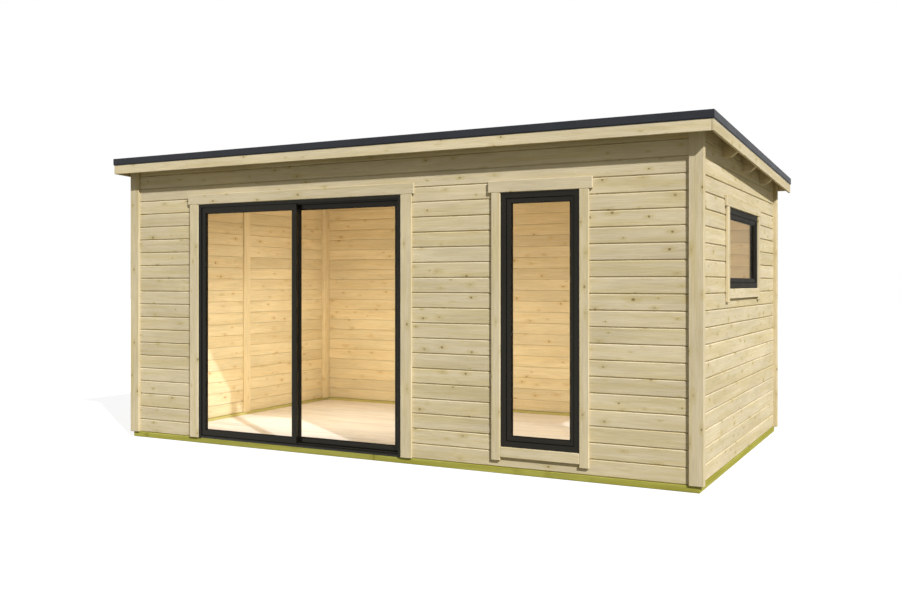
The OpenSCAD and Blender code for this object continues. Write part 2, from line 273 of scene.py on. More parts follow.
def cleared(owner):
    """The empty node tree of a material or a world."""
    owner.use_nodes = True
    owner.node_tree.nodes.clear()
    return owner.node_tree


def surface(name, **constants):
    """A new material with one Principled shader. Returns the material, its tree and the shader."""
    made = bpy.data.materials.new(name)
    tree = cleared(made)
    shader = node(tree, "BsdfPrincipled")
    for title, value in constants.items():
        shader.inputs[title.replace("_", " ")].default_value = value
    node(tree, "OutputMaterial", {0: shader.outputs[0]})
    return made, tree, shader


def dress(tree, shader, colour, roughness, height, depth):
    """Links colour, roughness and a bump of some depth in metres to a shader."""
    bump = node(tree, "Bump", {"Height": height, "Strength": 1.0, "Distance": depth})
    tree.links.new(colour, shader.inputs["Base Color"])
    tree.links.new(roughness, shader.inputs["Roughness"])
    tree.links.new(bump.outputs[0], shader.inputs["Normal"])


# Finishes


def spruce_figure():
    """Node group: the figure of sawn spruce on grain coordinates (along, across, through the board).

    Year rings lie round a pith that wanders along the board. Broad streaks and fine fibres are noise that is
    drawn out along the grain, and the tone sets how light and how streaky a board is. Knots are round spots
    at the middles of Voronoi cells that are longer than wide, measured in metres. The rings bend round them,
    and the wood beside them has a ragged halo.
    """
    tree, given, put = group(
        "spruce_figure",
        {"Grain": "Vector", "Tone": "Float", "Pale": "Color", "Streak": "Color", "Halo": "Color",
         "Knot": "Color", "Ring Share": "Float", "Knot Share": "Float"},
    )
    grain = given["Grain"]
    # Cells to the metre along and across the board, and the least radius of a knot and its spread
    along, across = 4.2, 9.0
    least_r, spread_r = 0.0035, 0.0070
    cell_place = stretch(tree, grain, (along, across, 0.0))
    cells = {"Vector": cell_place, "Scale": 1.0}
    spots = node(tree, "TexVoronoi", cells, voronoi_dimensions="2D").outputs
    away = vectors(tree, "SUBTRACT", cell_place, spots["Position"])[0]
    away = stretch(tree, away, (0.8 / along, 1 / across, 0.0))
    distance = vectors(tree, "LENGTH", away)["Value"]
    halo_distance = vectors(tree, "LENGTH", stretch(tree, away, (0.55, 1.0, 0.0)))["Value"]
    chance = node(tree, "SeparateColor", {0: spots["Color"]}).outputs
    there = maths(tree, "LESS_THAN", chance[0], given["Knot Share"])
    radius = maths(tree, "MULTIPLY_ADD", chance[1], spread_r, least_r)
    blot = drawn_out(tree, grain, 70.0, 120.0)
    near = maths(tree, "MULTIPLY_ADD", blot, -1.0, maths(tree, "DIVIDE", distance, radius))
    ragged = drawn_out(tree, grain, 22.0, 60.0, 3.0, 0.6)
    wide = maths(tree, "MULTIPLY_ADD", ragged, -4.5, maths(tree, "DIVIDE", halo_distance, radius))
    sound = maths(tree, "MULTIPLY", there, ramp(tree, chance[2], 0.1, 0.8, 0.25, 1.0))
    knot = maths(tree, "MULTIPLY", ramp(tree, near, 0.75, 0.15), sound)
    halo = maths(tree, "MULTIPLY", ramp(tree, wide, 1.6, -1.6), there)

    wander = drawn_out(tree, grain, 0.8, 3.0)
    bend = maths(tree, "MULTIPLY_ADD", wander, 0.05, maths(tree, "MULTIPLY", halo, 0.008))
    shift = node(tree, "CombineXYZ", {1: bend}).outputs[0]
    bent = vectors(tree, "ADD", grain, shift)[0]
    rings = node(
        tree,
        "TexWave",
        {"Vector": stretch(tree, bent, (0.1, 1.0, 1.0)), "Scale": 42.0, "Distortion": 2.5, "Detail": 2.0},
        wave_type="RINGS",
        rings_direction="X",
        wave_profile="SAW",
    ).outputs["Fac"]
    streak = drawn_out(tree, bent, 1.1, 26.0, 3.0)
    cloud = drawn_out(tree, grain, 1.6, 5.0)
    fibre = drawn_out(tree, bent, 6.0, 240.0, 3.0, 0.6)
    smudge = drawn_out(tree, grain, 9.0, 30.0, 3.0, 0.6)

    late = ramp(tree, rings, 0.45, 1.0)
    hue = maths(tree, "FRACT", maths(tree, "MULTIPLY", given["Tone"], 7.3))
    bands = maths(tree, "MULTIPLY_ADD", hue, 0.16, streak)
    colour = mix(tree, ramp(tree, bands, 0.42, 0.78), given["Pale"], given["Streak"])
    late_share = maths(tree, "MULTIPLY", late, given["Ring Share"])
    colour = mix(tree, late_share, colour, (0.80, 0.70, 0.50, 1), "MULTIPLY")
    light = maths(tree, "MULTIPLY_ADD", given["Tone"], 0.10, 0.89)
    light = maths(tree, "ADD", light, ramp(tree, cloud, 0.3, 0.7, -0.05, 0.06))
    light = maths(tree, "ADD", light, ramp(tree, fibre, 0.3, 0.7, -0.09, 0.08))
    colour = scaled(tree, colour, light)
    smudged = ramp(tree, smudge, 0.56, 0.78, 0.0, 0.36)
    stain = maths(tree, "MAXIMUM", maths(tree, "MULTIPLY", halo, 0.42), smudged)
    colour = mix(tree, stain, colour, given["Halo"])
    colour = mix(tree, maths(tree, "MULTIPLY", knot, 0.72), colour, given["Knot"])
    rough = ramp(tree, fibre, 0.25, 0.75, 0.70, 0.86)
    height = maths(tree, "MULTIPLY_ADD", late, 0.35, maths(tree, "MULTIPLY", fibre, 0.65))
    put(colour, rough, height)
    return tree


def powder_coat():
    """Node group: a sprayed coat on metal, with slow drifts of shade, fine grit and a peel, on a place."""
    tree, given, put = group("powder_coat", {"Place": "Vector", "Shade": "Color", "Matt": "Float"})
    drift = noise(tree, given["Place"], 5.0, 4.0)
    peel = noise(tree, given["Place"], 700.0, 2.0)
    grit = noise(tree, given["Place"], 160.0, 3.0)
    light = ramp(tree, drift, 0.3, 0.7, 0.88, 1.10)
    light = maths(tree, "ADD", light, ramp(tree, grit, 0.35, 0.7, -0.06, 0.08))
    rough = maths(tree, "ADD", given["Matt"], ramp(tree, drift, 0.3, 0.7, -0.04, 0.04))
    rough = maths(tree, "ADD", rough, ramp(tree, grit, 0.3, 0.7, -0.03, 0.03))
    put(scaled(tree, given["Shade"], light), rough, peel)
    return tree


figure = spruce_figure()
coat = powder_coat()


def tints(pale, streak, halo, knot):
    """The four colours of a timber: plain wood, streaks, round the knots, and the knots."""
    return {"Pale": (*pale, 1), "Streak": (*streak, 1), "Halo": (*halo, 1), "Knot": (*knot, 1)}


def timber_finish(name, colours, ring_share, knot_share, inner=None):
    """Timber with its figure on the boards' own grain. Inner colours are for faces towards the room, and
    carry painted light of the room.
    """
    made, tree, shader = surface(name, Specular_IOR_Level=0.08)
    if inner:
        inside = attribute(tree, "inside")["Fac"]
        colours = {key: mix(tree, inside, value, inner[key]) for key, value in colours.items()}
    values = {
        "Grain": attribute(tree, "grain")["Vector"],
        "Tone": attribute(tree, "tone")["Fac"],
        "Ring Share": ring_share,
        "Knot Share": knot_share,
    }
    dress(tree, shader, *place(tree, figure, {**values, **colours}), depth=0.0006)
    return made


def coated_finish(name, shade, shine, matt, gloss=(1, 1, 1, 1)):
    """Powder-coated metal of one shade, shine, roughness and colour of its gloss."""
    made, tree, shader = surface(name, Specular_IOR_Level=shine, Specular_Tint=gloss)
    values = {"Place": object_place(tree), "Shade": shade, "Matt": matt}
    dress(tree, shader, *place(tree, coat, values), depth=0.00012)
    return made


def roofing_finish():
    """Mineral roofing sheet: coarse grains of two greys, darker with painted shade where the tone marks a
    lap.
    """
    made, tree, shader = surface("roofing_sheet", Specular_IOR_Level=0.3)
    place_now = object_place(tree)
    grains = node(tree, "TexVoronoi", {"Vector": place_now, "Scale": 420.0}).outputs
    shade = node(tree, "SeparateColor", {0: grains["Color"]}).outputs[0]
    drift = noise(tree, stretch(tree, place_now, (0.6, 3.0, 3.0)), 1.6, 5.0, 0.6)
    colour = mix(tree, shade, (0.018, 0.018, 0.019, 1), (0.062, 0.062, 0.066, 1))
    light = maths(tree, "SUBTRACT", ramp(tree, drift, 0.3, 0.7, 0.94, 1.08), attribute(tree, "tone")["Fac"])
    colour = scaled(tree, colour, light)
    rough = ramp(tree, shade, 0.0, 1.0, 0.82, 0.95)
    dress(tree, shader, colour, rough, grains["Distance"], depth=0.0008)
    return made


def rubber_finish():
    """Black glazing rubber with a slight bloom."""
    made, tree, shader = surface("glazing_rubber", Specular_IOR_Level=0.08)
    place_now = object_place(tree)
    bloom = noise(tree, place_now, 30.0, 3.0)
    colour = mix(tree, ramp(tree, bloom, 0.35, 0.75), (0.0035, 0.0035, 0.0035, 1), (0.009, 0.009, 0.009, 1))
    rough = ramp(tree, bloom, 0.3, 0.7, 0.6, 0.8)
    dress(tree, shader, colour, rough, noise(tree, place_now, 500.0), depth=0.0001)
    return made


def nylon_finish():
    """Grey nylon of the rollers."""
    made, tree, shader = surface("roller_nylon", Specular_IOR_Level=0.4)
    place_now = object_place(tree)
    cloud = noise(tree, place_now, 60.0, 3.0)
    colour = mix(tree, cloud, (0.45, 0.45, 0.44, 1), (0.62, 0.62, 0.60, 1))
    rough = ramp(tree, cloud, 0.3, 0.7, 0.4, 0.55)
    dress(tree, shader, colour, rough, noise(tree, place_now, 900.0), depth=0.00005)
    return made


def glass_finish():
    """Clear glass. Light from lamps and lit surfaces passes straight through, so that the room is lit."""
    made, tree, shader = surface(
        "clear_glass", Roughness=0.0, IOR=1.03, Transmission_Weight=1.0, Base_Color=(0.95, 0.98, 0.97, 1)
    )
    ray = node(tree, "LightPath").outputs
    through = maths(tree, "MAXIMUM", ray["Is Shadow Ray"], ray["Is Diffuse Ray"])
    clear = node(tree, "BsdfTransparent", {"Color": (0.68, 0.71, 0.80, 1)})
    both = node(tree, "MixShader", {0: through, 1: shader.outputs[0], 2: clear.outputs[0]})
    output = next(n for n in tree.nodes if n.type == "OUTPUT_MATERIAL")
    tree.links.new(both.outputs[0], output.inputs[0])
    return made


spruce = timber_finish(
    "treated_spruce",
    tints((0.640, 0.552, 0.378), (0.585, 0.490, 0.288), (0.440, 0.345, 0.130), (0.150, 0.090, 0.028)),
    ring_share=0.16,
    knot_share=0.58,
    # Faces towards the room: paler, warmer wood, partly its own colour and partly painted warm bounce light
    # of the room
    inner=tints((0.800, 0.640, 0.370), (0.765, 0.590, 0.315), (0.640, 0.430, 0.180), (0.340, 0.180, 0.060)),
)
# Roof boards: spruce darker and warmer than the walls, partly its own colour and partly painted warm shade
# under the eaves
raw_spruce_and_painted_shade = timber_finish(
    "raw_spruce_and_painted_shade",
    tints((0.600, 0.465, 0.225), (0.540, 0.400, 0.165), (0.420, 0.280, 0.100), (0.150, 0.080, 0.025)),
    ring_share=0.25,
    knot_share=0.4,
)
bearer_timber = timber_finish(
    "green_bearer",
    tints((0.400, 0.385, 0.085), (0.310, 0.290, 0.045), (0.250, 0.220, 0.035), (0.120, 0.100, 0.020)),
    ring_share=0.35,
    knot_share=0.3,
    # Faces towards the room: the same green timber, lightened and yellowed with painted light of the room
    inner=tints((0.640, 0.550, 0.200), (0.560, 0.470, 0.150), (0.420, 0.340, 0.090), (0.180, 0.140, 0.030)),
)
floor_timber = timber_finish(
    "pale_floor",
    tints((0.870, 0.760, 0.610), (0.790, 0.665, 0.500), (0.720, 0.560, 0.390), (0.560, 0.380, 0.210)),
    ring_share=0.12,
    knot_share=0.12,
)
dark_shade = (0.0075, 0.0062, 0.0040, 1)
edging_shade = (0.024, 0.026, 0.031, 1)
# Warm tint on the frames' gloss: a painted warm reflection of the ground round the pod
painted_warm_reflection = (1.0, 0.96, 0.82, 1)
# The front frames have a satin coat, and the side window a matt one
dark_metal = coated_finish("anthracite_coat", dark_shade, shine=0.25, matt=0.22, gloss=painted_warm_reflection)
matt_metal = coated_finish("matt_anthracite_coat", dark_shade, shine=0.48, matt=0.92, gloss=painted_warm_reflection)
edging_metal = coated_finish("roof_edging_coat", edging_shade, shine=0.2, matt=0.5)
roofing = roofing_finish()
rubber = rubber_finish()
nylon = nylon_finish()
glass = glass_finish()


# Mesh tools

# Points, faces over them, grain coordinates and tone of each point, and which faces look into the room
Stock = namedtuple("Stock", "points faces grain tone inside")


def skin(points, ring=False):
    """Faces over points[part, station, corner].

    Each corner of a profile is joined to the next corner and to itself at the next station. A path with two
    ends gets one face over the profile at each end, and a ring runs back into its first station. All faces
    are turned over if they look towards the middle of their part.
    """
    parts, stations, corners = points.shape[:3]
    index = np.arange(parts * stations * corners).reshape(parts, stations, corners)
    following = np.roll(index, -1, 2)
    if ring:
        quads = np.stack([index, following, np.roll(following, -1, 1), np.roll(index, -1, 1)], -1)
        ends = np.zeros((0, corners), int)
    else:
        quads = np.stack([index[:, :-1], following[:, :-1], following[:, 1:], index[:, 1:]], -1)
        ends = np.concatenate([index[:, 0, ::-1], index[:, -1]])
    corner = points.reshape(-1, 3)[quads]
    normal = np.cross(corner[..., 2, :] - corner[..., 0, :], corner[..., 3, :] - corner[..., 1, :])
    middle = points.mean((1, 2))[:, None, None]
    if np.sum(normal * (corner.mean(-2) - middle)) < 0:
        quads, ends = quads[..., ::-1], ends[:, ::-1]
    return quads.reshape(-1, 4), ends


def points_of(x, y, z):
    """One part's points[part, station, corner] from coordinates that are spread over each other."""
    return np.stack(np.broadcast_arrays(x, y, z), -1)[None]


def draw_boards(count):
    """A shift of the grain and a tone for each of a number of boards, drawn at random."""
    shift = draw.uniform((0, -0.1, 0.03), (40, 0.1, 0.15), (count, 3))
    tone = draw.uniform(0, 1, count)
    return shift, tone


def stock_of(points, grain=None, ring=False, inside=None, drawn=None):
    """A Stock from points[part, station, corner], with the grain at the points themselves if none is given.

    What isn't drawn yet is drawn for each part.
    """
    parts, stations, corners = points.shape[:3]
    shift, tone = drawn or draw_boards(parts)
    quads, ends = skin(points, ring)
    flags = np.zeros(len(quads) + len(ends))
    if inside is not None:
        flags[: len(quads)] = np.broadcast_to(inside, (parts, stations - (not ring), corners)).ravel()
    grain = ((points if grain is None else grain) + shift[:, None, None]).reshape(-1, 3)
    return Stock(points.reshape(-1, 3), (quads, ends), grain, np.repeat(tone, stations * corners), flags)


def show(name, data):
    """A new object in the scene."""
    made = bpy.data.objects.new(name, data)
    bpy.context.scene.collection.objects.link(made)
    return made


def piece(name, stocks, finish, nodes=(), body="pod"):
    """One object out of one or more Stocks, with its finish. It stands for CAD nodes and rides on a body."""
    stocks = stocks if isinstance(stocks, list) else [stocks]
    faces = []
    start = 0
    for stock in stocks:
        for part in stock.faces:
            faces += (part + start).tolist()
        start += len(stock.points)
    mesh = bpy.data.meshes.new(name)
    mesh.from_pydata(np.concatenate([stock.points for stock in stocks]).tolist(), [], faces)
    for title, kind, domain, key in (
        ("grain", "FLOAT_VECTOR", "POINT", "vector"),
        ("tone", "FLOAT", "POINT", "value"),
        ("inside", "FLOAT", "FACE", "value"),
    ):
        values = np.concatenate([getattr(stock, title) for stock in stocks]).astype(np.float32)
        mesh.attributes.new(title, kind, domain).data.foreach_set(key, values.ravel())
    mesh.materials.append(finish)
    made = show(name, mesh)
    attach(made, body)
    if nodes:
        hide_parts(*nodes)


def stand_in(name, kind, stocks, finish=spruce, body="pod"):
    """A piece that takes the place of one CAD node, named for the node and for the kind of stock."""
    piece(name + "_" + kind, stocks, finish, [name], body)


# Corners of a rectangle with cut corners: which side each point takes, and whether the cut moves it
SIDE_B = np.array([0, 1, 1, 1, 1, 0, 0, 0])
CUT_B = np.array([1, 1, 0, 0, 1, 1, 0, 0])
SIDE_C = np.array([0, 0, 0, 1, 1, 1, 1, 0])
CUT_C = np.array([0, 0, 1, 1, 0, 0, 1, 1])


def planks(lows, highs, along, edge, inside=None):
    """Square-edged planks between corner points, with all edges planed off at 45 degrees.

    An eight-cornered profile is carried along one axis through four stations: the ends are the profile drawn
    in by the width of the planed edge.
    """
    lows = np.atleast_2d(lows).astype(float)
    highs = np.atleast_2d(highs).astype(float)
    b_axis, c_axis = [a for a in range(3) if a != along]
    points = np.zeros((len(lows), 4, 8, 3))
    draws = edge * np.array([1, 0, 0, 1])[None, :, None]
    cut = edge * np.array([0.5, 1, 1, 0.5])[None, :, None]
    for axis, side, moved in ((b_axis, SIDE_B, CUT_B), (c_axis, SIDE_C, CUT_C)):
        low = lows[:, None, None, axis] + draws + cut * moved
        high = highs[:, None, None, axis] - draws - cut * moved
        points[..., axis] = np.where(side == 1, high, low)
    low, high = lows[:, along], highs[:, along]
    points[..., along] = np.stack([low, low + edge, high - edge, high], 1)[:, :, None]
    widths = (highs - lows).mean(0)
    across, through = (b_axis, c_axis) if widths[b_axis] >= widths[c_axis] else (c_axis, b_axis)
    grain = (points - lows[:, None, None])[..., [along, across, through]]
    return stock_of(points, grain, inside=inside)


def toned(stock, tone):
    """The stock with one tone on all its boards."""
    return stock._replace(tone=np.full_like(stock.tone, tone))


def follow_roof(stock):
    """Leans a Stock that was made level at the front wall so that it follows the roof."""
    stock.points[:, 2] -= fall * (stock.points[:, 1] - front_y)
    return stock


def lean_top(stock):
    """Cuts the tops of uprights to the roof: the foot stays and the top takes the whole fall."""
    share = (stock.points[:, 2] - foot) / (wall_high[2] - foot)
    stock.points[:, 2] -= share * fall * (stock.points[:, 1] - front_y)
    return stock


def leaning_height(low, high):
    """Height of a piece that leans with the roof, from the corners of its box."""
    return high[2] - low[2] - fall * (high[1] - low[1])


def beside(outer, inner, axis):
    """The two boxes that an outer box has on both sides of an inner one along an axis."""
    (low, high), (inner_low, inner_high) = outer, inner
    first, second = high.copy(), low.copy()
    first[axis] = inner_low[axis]
    second[axis] = inner_high[axis]
    return np.array([low, second]), np.array([first, high])


# Walls


def board_runs(start, end, top, holes, cuts=()):
    """Straight runs of wall boards, course by course, as rows.

    A run ends at a hole, at a given cut, or where the sloping top meets the course. Each row has both ends,
    the lower edge, the upper edge at both ends, whether each edge is a joint, and the number of the board,
    which runs on past a cut.
    """
    rows = []
    board = 0
    lean = (top(end) - top(start)) / (end - start)
    for k in range(math.ceil((max(top(start), top(end)) - foot) / course)):
        low, high = foot + k * course, foot + (k + 1) * course
        stops = {start, end, *cuts}
        stops.update(s for hole in holes if hole[2] < high and hole[3] > low for s in hole[:2])
        if lean:
            stops.update(start + (z - top(start)) / lean for z in (low, high))
        stops = sorted(s for s in stops if start <= s <= end)
        board += 1
        for s0, s1 in zip(stops[:-1], stops[1:]):
            z0, z1 = low, min(high, max(top(s0), top(s1)))
            for hole in holes:
                if hole[0] < (s0 + s1) / 2 < hole[1] and hole[2] < z1 and hole[3] > z0:
                    z0, z1 = (hole[3], z1) if hole[2] <= z0 else (z0, hole[2])
            if z1 - z0 < least_h or s1 - s0 < least_l:
                board += 1
                continue
            ends = [max(min(z1, top(s)), z0 + thin_end) for s in (s0, s1)]
            rows.append((s0, s1, z0, *ends, z0 == low, z1 == high, board))
    return np.array(rows, float)


def wall_boards(runs, origin, along, inward):
    """Wall boards along runs.

    The profile goes round a board in 16 corners: a planed edge and a slit at each joint, outside and inside,
    with a tongue between that closes the joint. It is carried from one end of the run to the other, with the
    upper edge taken from each end.
    """
    low = np.repeat(runs[:, 2:3], 2, 1)
    high = runs[:, 3:5]
    fit = np.minimum(1.0, (high - low) / whole_joint_h)
    gap_low, gap_high = (fit * np.maximum(runs[:, k : k + 1], cut_share) for k in (5, 6))
    t_out, t_in = joint_out, wall_t - joint_in
    d_out, d_in = t_out + slit_depth, t_in - slit_depth
    depth = [t_out, 0, 0, t_out, d_out, d_out, d_in, d_in]
    depth += [t_in, wall_t, wall_t, t_in, d_in, d_in, d_out, d_out]
    rise = []
    for joint in (joint_out, joint_in):
        rise += [slit, slit + joint, slit + joint, slit, slit, 0, 0, slit]
    upper = np.zeros(16, bool)
    upper[2:10] = True
    z_low = low[..., None] + gap_low[..., None] * np.array(rise)
    z_high = high[..., None] - gap_high[..., None] * np.array(rise)
    s, t, z = np.broadcast_arrays(runs[:, 0:2, None], np.array(depth), np.where(upper, z_high, z_low))
    points = np.array(origin) + s[..., None] * np.array(along) + t[..., None] * np.array(inward)
    points[..., 2] += z
    grain = np.stack([s, z - foot, t], -1)
    boards = runs[:, 7].astype(int)
    shift, tone = draw_boards(boards.max() + 1)
    inside = np.zeros(16)
    inside[8:11] = 1
    return stock_of(points, grain, inside=inside, drawn=(shift[boards], tone[boards]))


def hole_of(name, axis):
    """The part of a wall that a CAD node takes up: from, to, lower and upper edge."""
    low, high = box(name)
    return low[axis], high[axis], low[2], high[2]


def build_walls():
    """Boards of the four walls, with the holes for the door, the windows and the purlins' seats."""
    left, right, _, top = hole_of("door_jambs", 0)
    holes = [(left, right, 0.0, top), hole_of("tall_window_frame", 0)]
    front = board_runs(-wall_end_x, wall_end_x, lambda s: wall_top(front_y), holes, (left, right))
    middle = front[:, :2].mean(1)
    # The three parts of the front draw the same numbers, so that a board runs on from one to the next
    state = draw.bit_generator.state
    for name, start, end in (
        ("front_wall_left", -wall_end_x, left),
        ("front_wall_head", left, right),
        ("front_wall_right", right, wall_end_x),
    ):
        draw.bit_generator.state = state
        runs = front[(middle > start) & (middle < end)]
        stand_in(name, "boards", wall_boards(runs, (0, front_y, 0), (1, 0, 0), (0, 1, 0)))
    back = board_runs(-wall_end_x, wall_end_x, lambda s: wall_top(back_low[1]), [])
    stand_in("back_wall", "boards", wall_boards(back, (0, back_y, 0), (1, 0, 0), (0, -1, 0)))
    start, end = hole_of("left_wall", 1)[:2]
    half = purlin_w / 2
    seats = [(y - half, y + half, low, wall_high[2]) for y, low in zip(purlin_y, purlin_foot)]
    for side, name, holes in ((-1, "left_wall", []), (1, "right_wall", [hole_of("side_window_frame", 1)])):
        runs = board_runs(start, end, wall_top, holes + seats)
        boards = wall_boards(runs, (side * side_x, 0, 0), (0, 1, 0), (-side, 0, 0))
        stand_in(name, "boards", boards)


# Base, posts and trims


def build_base():
    """Bearers of sawn green timber, and floor boards laid along the pod."""
    floor_low, floor_high = box("floor_deck")
    # Faces of the eight-cornered profile towards the room, for a bearer below and above it on its axis
    to_room = np.zeros((2, 1, 8))
    to_room[0, :, 2:4] = 1
    to_room[1, :, 5:7] = 1
    for name, inside in (("front_bearer", to_room[:1]), ("back_bearer", to_room[1:])):
        bearer = planks(*box(name), 0, bearer_edge, inside)
        stand_in(name, "timber", bearer, bearer_timber)
    lows, highs = beside(box("side_bearers"), (floor_low, floor_high), 0)
    bearers = planks(lows, highs, 1, bearer_edge, to_room)
    stand_in("side_bearers", "timber", bearers, bearer_timber)
    count = round((floor_high[1] - floor_low[1]) / floor_board)
    edges = np.linspace(floor_low[1], floor_high[1], count + 1)
    lows = np.tile(floor_low, (count, 1))
    highs = np.tile(floor_high, (count, 1))
    lows[:, 1], highs[:, 1] = edges[:-1], edges[1:]
    boards = planks(lows, highs, 0, floor_joint)
    boards = boards._replace(tone=0.5 + floor_tone * (boards.tone - 0.5))
    piece("floor_boards", boards, floor_timber, ["floor_deck"])


def build_posts():
    """Corner posts with a tongue that fills the corner behind the boards, inner posts and a cover batten."""
    side_start, side_end = hole_of("left_wall", 1)[:2]
    walls = np.array([[-wall_end_x, 0, 0], [wall_end_x, 0, 0]])
    for name, in_front in (("front_posts", True), ("back_posts", False)):
        lows, highs = beside(box(name), walls, 0)
        highs[:, 2] = wall_high[2]
        tongue_lows, tongue_highs = lows.copy(), highs.copy()
        tongue_lows[0, 0] = -side_x + wall_t
        tongue_highs[1, 0] = side_x - wall_t
        # The post proper ends where the side wall starts, and its tongue goes on from there
        if in_front:
            highs[:, 1] = tongue_lows[:, 1] = side_start
        else:
            lows[:, 1] = tongue_highs[:, 1] = side_end
        stocks = [planks(lows, highs, 2, post_edge), planks(tongue_lows, tongue_highs, 2, tongue_edge)]
        stand_in(name, "timber", [lean_top(stock) for stock in stocks])
    low, high = box("inner_corner_posts")
    y_ranges = ((low[1], low[1] + inner_post_w), (high[1] - inner_post_w, high[1]))
    x_ranges = ((low[0], low[0] + inner_post_t), (high[0] - inner_post_t, high[0]))
    lows = np.array([(x[0], y[0], foot) for y in y_ranges for x in x_ranges])
    highs = np.array([(x[1], y[1], wall_high[2]) for y in y_ranges for x in x_ranges])
    posts = lean_top(planks(lows, highs, 2, post_edge, inside=1))
    stand_in("inner_corner_posts", "timber", posts)
    batten = planks(*box("left_wall_batten"), 2, trim_edge, inside=1)
    stand_in("left_wall_batten", "timber", batten)


def build_trims():
    """Casings, head trims and sill trims round the door and the windows."""
    for opening, inner, axis in (
        ("door", "door_jambs", 0),
        ("tall_window", "tall_window_frame", 0),
        ("side_window", "side_window_frame", 1),
    ):
        name = opening + "_casings"
        casings = planks(*beside(box(name), box(inner), axis), 2, trim_edge)
        stand_in(name, "timber", casings)
        for part in ("_head_trim", "_sill_trim"):
            name = opening + part
            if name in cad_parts:
                stand_in(name, "timber", planks(*box(name), axis, trim_edge))


# Roof


def build_purlins():
    """Purlins whose tops follow the roof, with a bevel under each outer end.

    An eight-cornered profile goes along X. Its lower corners rise at the two ends, and stations at the
    walls' inner faces part what is inside the room from what is outside.
    """
    end = box("purlins")[1][0]
    x = np.array([-end, -end + nose_l, -side_x + wall_t, side_x - wall_t, end - nose_l, end])
    rise = (purlin_d - nose_h) * (np.abs(x) == end)
    inside = np.zeros((1, 5, 8))
    inside[:, 2] = 1
    stocks = []
    for middle, low in zip(purlin_y, purlin_foot):
        y0, y1 = middle - purlin_w / 2, middle + purlin_w / 2
        y = np.where(SIDE_B == 1, y1 - trim_edge * CUT_B, y0 + trim_edge * CUT_B)
        z_low = low + rise[:, None] + trim_edge * CUT_C
        z = np.where(SIDE_C == 1, wall_top(y) - hidden_cut * trim_edge * CUT_C, z_low)
        points = points_of(x[:, None], y, z)
        grain = points[..., [0, 2, 1]] - np.array([0, low, y0])
        stocks.append(stock_of(points, grain, inside=inside))
    stand_in("purlins", "timber", stocks)


def build_roof_deck():
    """Roof boards from front to back.

    A six-cornered profile with a planed joint under each edge goes along Y, with stations at the inner faces
    of the walls.
    """
    count = round((deck_high[0] - deck_low[0]) / roof_board)
    edges = np.linspace(deck_low[0], deck_high[0], count + 1)
    thick = deck_high[2] - wall_top(deck_low[1])
    x0, x1 = edges[:-1, None, None], edges[1:, None, None]
    x = np.concatenate([x0 + roof_joint, x1 - roof_joint, x1, x1, x0, x0], 2)
    y = np.array([deck_low[1], front_y + wall_t, back_y - wall_t, deck_high[1]])
    z = wall_high[2] + np.array([0, 0, roof_joint, thick, thick, roof_joint])
    points = np.stack(np.broadcast_arrays(x, y[:, None], z), -1)
    grain = points[..., [1, 0, 2]] - np.array([0, 0, wall_high[2]])
    boards = follow_roof(stock_of(points, grain))
    # The finish of the roof boards carries painted warm shade under the eaves
    stand_in("roof_deck", "boards", boards, raw_spruce_and_painted_shade)


def build_fascias():
    """Fascia boards, made level and leant to the roof. The side ones cover the ends of the others."""
    top = wall_high[2] + deck_high[2] - wall_top(deck_low[1])
    for name in ("front_fascia", "back_fascia"):
        low, high = box(name)
        low[2], high[2] = top - leaning_height(low, high), top
        # The front and back fascias are lightened with painted light
        board = toned(follow_roof(planks(low, high, 0, fascia_edge)), front_back_fascia_painted_light)
        stand_in(name, "timber", board)
    front = box("front_fascia")
    lows, highs = beside(box("side_fascias"), front, 0)
    lows[:, 2], highs[:, 2] = top - leaning_height(*front), top
    # The side fascias are darkened with painted shade
    boards = toned(follow_roof(planks(lows, highs, 1, fascia_edge)), side_fascia_painted_shade)
    stand_in("side_fascias", "timber", boards)


def edging_profile(thick, reach):
    """Profile of the roof edging as (inwards from the face, up from the top).

    The leg has a drip step and a rounded hem at its foot and a rounded nose on top, and a reach goes over
    the sheet.
    """
    turn = np.linspace(0, np.pi / 2, 5)
    nose_r = thick * 0.6
    nose = np.stack([nose_r - nose_r * np.cos(turn), -nose_r + nose_r * np.sin(turn)], 1)
    hem_r = (thick - drip_d) / 2
    turn = np.linspace(np.pi, 2 * np.pi, 7)
    hem = np.stack([thick - hem_r + hem_r * np.cos(turn), -edging_leg + hem_r + hem_r * np.sin(turn)], 1)
    inner = [(thick, -thick), (reach, -thick), (reach, -thick * 0.55), (reach - thick * 0.5, 0)]
    drip = [(0, -edging_leg + drip_h), (drip_d, -edging_leg + drip_h)]
    return np.concatenate([hem, inner, nose[::-1], drip])


def build_edging():
    """Dark edging round the roof: its profile is carried along each side and mitred at the corners."""
    front_low, front_high = box("front_roof_edge")
    half_x, half_y = front_high[0], -front_low[1]
    thick = half_y + box("front_fascia")[0][1]
    inward, up = edging_profile(thick, front_high[1] - front_low[1]).T
    top = front_high[2] + fall * (front_low[1] - front_y)

    def length(near, far, swap):
        """One length: near is the half size across the edge, far the half size along it."""
        run = np.array([-1, 1])[:, None] * (far - inward)
        over = np.sign(near) * (abs(near) - inward)
        x, y = (over, run) if swap else (run, over)
        return follow_roof(stock_of(points_of(x, y, top + up)))

    for name, near in (("front_roof_edge", -half_y), ("back_roof_edge", half_y)):
        stand_in(name, "metal", length(near, half_x, False), edging_metal)
    sides = [length(side * half_x, half_y, True) for side in (-1, 1)]
    stand_in("side_roof_edges", "metal", sides, edging_metal)


